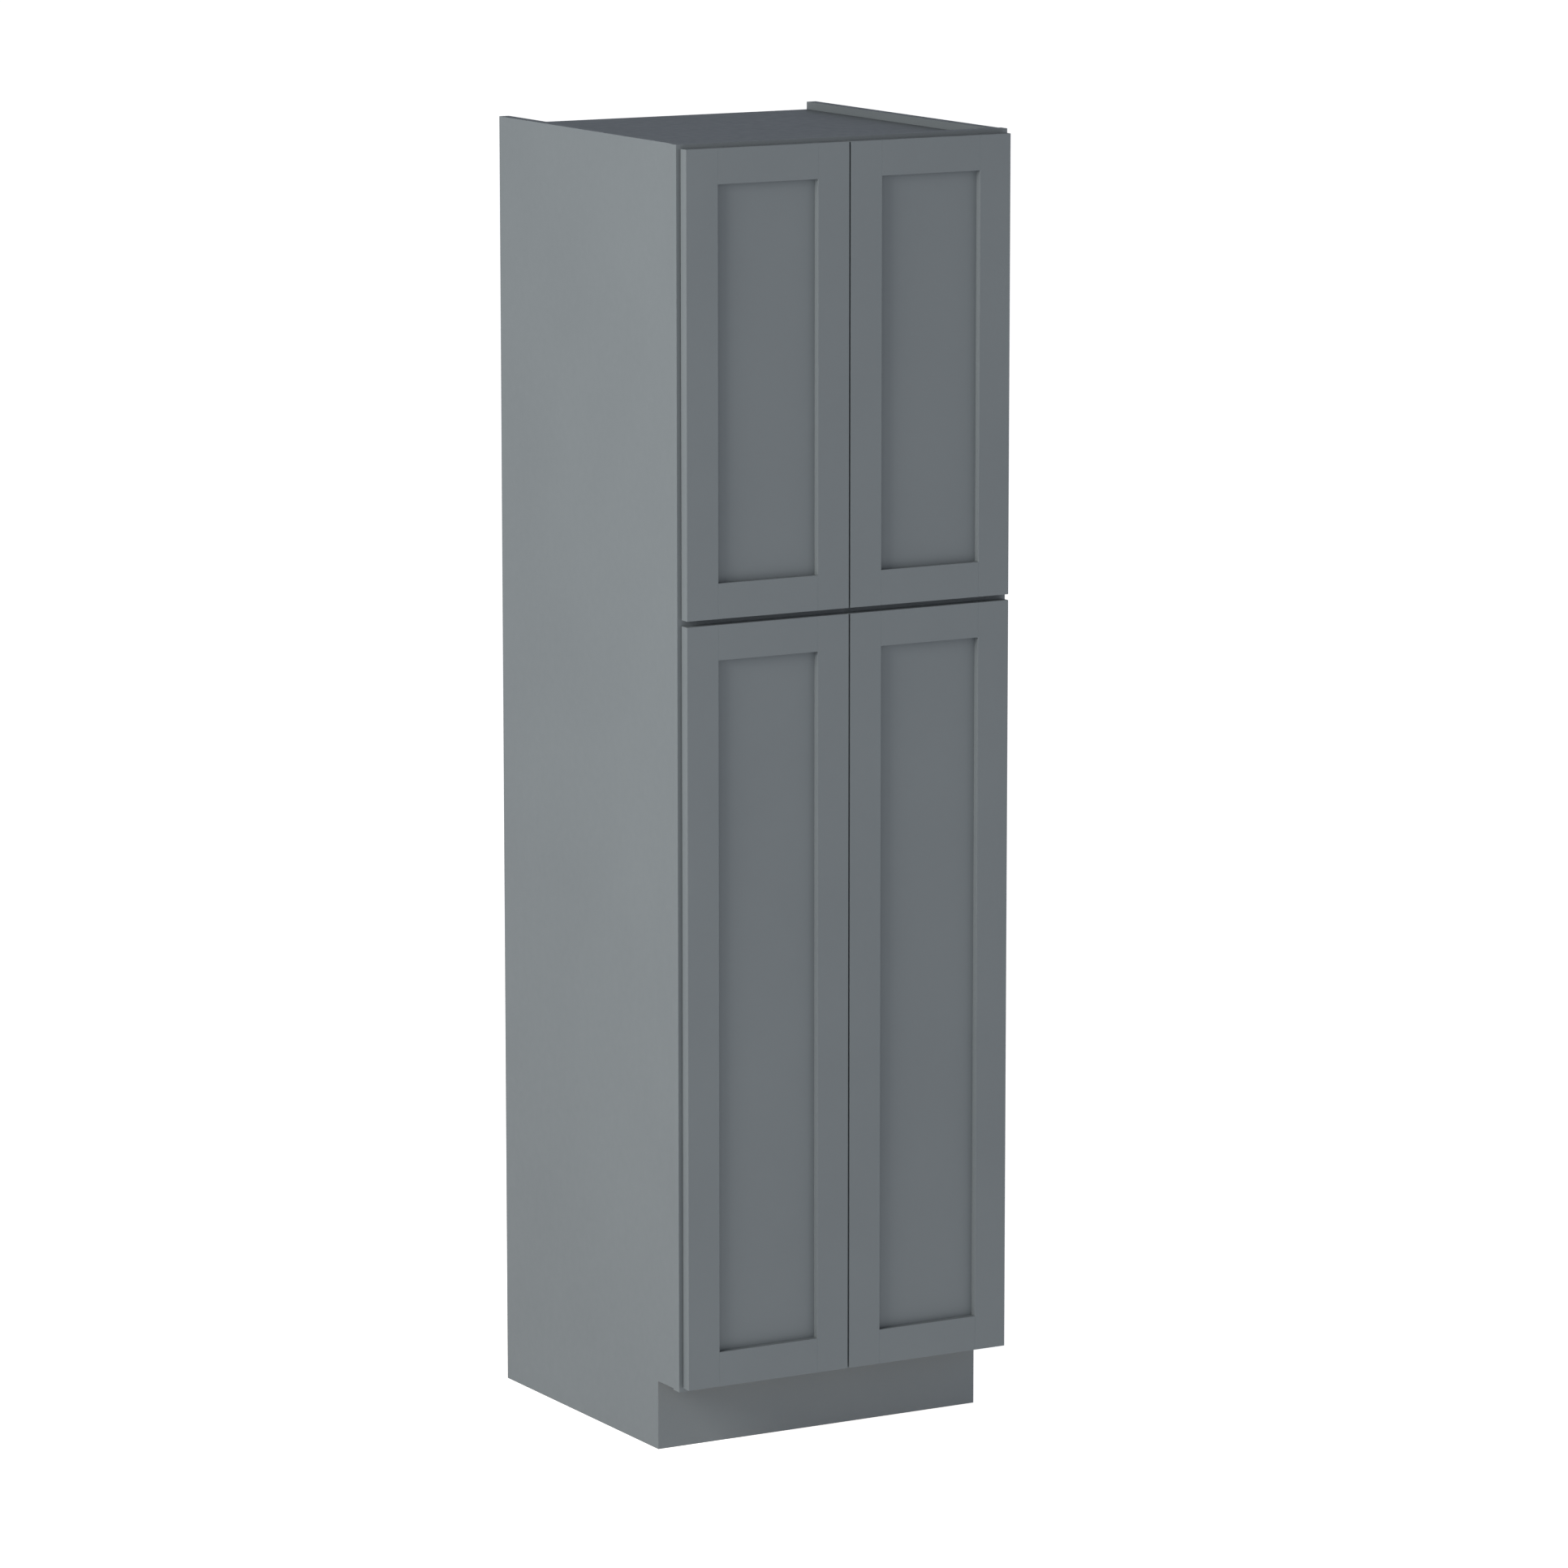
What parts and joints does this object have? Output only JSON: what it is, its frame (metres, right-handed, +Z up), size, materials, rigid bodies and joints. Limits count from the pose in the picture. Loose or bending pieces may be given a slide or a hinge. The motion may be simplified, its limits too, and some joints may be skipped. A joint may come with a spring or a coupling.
{
  "type": "pantry cabinet",
  "caption": "Tall framed pantry cabinet with recessed-panel doors on concealed hinges, adjustable shelves on pins, a fixed middle shelf and a recessed toe kick.",
  "frame": {"origin": "middle of the overall footprint, on the floor", "axes": "+Z up, doors face -Y, +X to the right seen from the front"},
  "size_m": [0.6096, 0.6306, 2.1336],
  "materials": {
    "cabinet_paint": "satin blue-grey paint on wood and fibreboard",
    "interior_ply": "clear satin lacquer on pale plywood",
    "hinge_steel": "bright nickel plate on pressed steel",
    "screw_steel": "zinc plate",
    "pin_steel": "satin nickel plate",
    "bumper_clear": "soft clear polyurethane"
  },
  "bodies": {
    "cabinet": {"side_panel_left": "cabinet_paint", "side_panel_right": "cabinet_paint", "top_panel": "cabinet_paint", "bottom_panel": "interior_ply", "fixed_shelf": "interior_ply", "back_panel": "interior_ply", "hanging_rail_top": "interior_ply", "hanging_rail_middle": "interior_ply", "hanging_rail_bottom": "interior_ply", "face_stile_left": "cabinet_paint", "face_stile_right": "cabinet_paint", "face_rail_top": "cabinet_paint", "face_rail_middle": "cabinet_paint", "face_rail_bottom": "cabinet_paint", "toe_kick_board": "interior_ply", "toe_kick_skin": "cabinet_paint", "shelf_pins": "pin_steel", "hinge_arm_screws": "screw_steel", "upper_left_hinge_arms": "hinge_steel", "upper_right_hinge_arms": "hinge_steel", "lower_left_hinge_arms": "hinge_steel", "lower_right_hinge_arms": "hinge_steel"},
    "upper_left_door": {"upper_left_outer_stile": "cabinet_paint", "upper_left_inner_stile": "cabinet_paint", "upper_left_top_rail": "cabinet_paint", "upper_left_bottom_rail": "cabinet_paint", "upper_left_panel": "cabinet_paint", "upper_left_hinge_cups": "hinge_steel", "upper_left_cup_screws": "screw_steel", "upper_left_bumpers": "bumper_clear"},
    "upper_right_door": {"upper_right_outer_stile": "cabinet_paint", "upper_right_inner_stile": "cabinet_paint", "upper_right_top_rail": "cabinet_paint", "upper_right_bottom_rail": "cabinet_paint", "upper_right_panel": "cabinet_paint", "upper_right_hinge_cups": "hinge_steel", "upper_right_cup_screws": "screw_steel", "upper_right_bumpers": "bumper_clear"},
    "lower_left_door": {"lower_left_outer_stile": "cabinet_paint", "lower_left_inner_stile": "cabinet_paint", "lower_left_top_rail": "cabinet_paint", "lower_left_bottom_rail": "cabinet_paint", "lower_left_panel": "cabinet_paint", "lower_left_hinge_cups": "hinge_steel", "lower_left_cup_screws": "screw_steel", "lower_left_bumpers": "bumper_clear"},
    "lower_right_door": {"lower_right_outer_stile": "cabinet_paint", "lower_right_inner_stile": "cabinet_paint", "lower_right_top_rail": "cabinet_paint", "lower_right_bottom_rail": "cabinet_paint", "lower_right_panel": "cabinet_paint", "lower_right_hinge_cups": "hinge_steel", "lower_right_cup_screws": "screw_steel", "lower_right_bumpers": "bumper_clear"},
    "upper_shelf_1": {"upper_shelf_1": "interior_ply"},
    "upper_shelf_2": {"upper_shelf_2": "interior_ply"},
    "lower_shelf_1": {"lower_shelf_1": "interior_ply"},
    "lower_shelf_2": {"lower_shelf_2": "interior_ply"},
    "lower_shelf_3": {"lower_shelf_3": "interior_ply"}
  },
  "joints": [
    {"name": "upper_left_door_hinge", "type": "hinge", "parent": "cabinet", "child": "upper_left_door", "pos_m": [-0.29125, -0.3061, 1.7526], "axis": [0, 0, -1], "range_deg": [0, 105]},
    {"name": "upper_right_door_hinge", "type": "hinge", "parent": "cabinet", "child": "upper_right_door", "pos_m": [0.29125, -0.3061, 1.7526], "axis": [0, 0, 1], "range_deg": [0, 105]},
    {"name": "lower_left_door_hinge", "type": "hinge", "parent": "cabinet", "child": "lower_left_door", "pos_m": [-0.29125, -0.3061, 0.74455], "axis": [0, 0, -1], "range_deg": [0, 105]},
    {"name": "lower_right_door_hinge", "type": "hinge", "parent": "cabinet", "child": "lower_right_door", "pos_m": [0.29125, -0.3061, 0.74455], "axis": [0, 0, 1], "range_deg": [0, 105]},
    {"name": "upper_shelf_1_lift", "type": "slide", "parent": "cabinet", "child": "upper_shelf_1", "axis": [0, 0, 1], "range_m": [0, 0.03]},
    {"name": "upper_shelf_2_lift", "type": "slide", "parent": "cabinet", "child": "upper_shelf_2", "axis": [0, 0, 1], "range_m": [0, 0.03]},
    {"name": "lower_shelf_1_lift", "type": "slide", "parent": "cabinet", "child": "lower_shelf_1", "axis": [0, 0, 1], "range_m": [0, 0.03]},
    {"name": "lower_shelf_2_lift", "type": "slide", "parent": "cabinet", "child": "lower_shelf_2", "axis": [0, 0, 1], "range_m": [0, 0.03]},
    {"name": "lower_shelf_3_lift", "type": "slide", "parent": "cabinet", "child": "lower_shelf_3", "axis": [0, 0, 1], "range_m": [0, 0.03]}
  ]
}
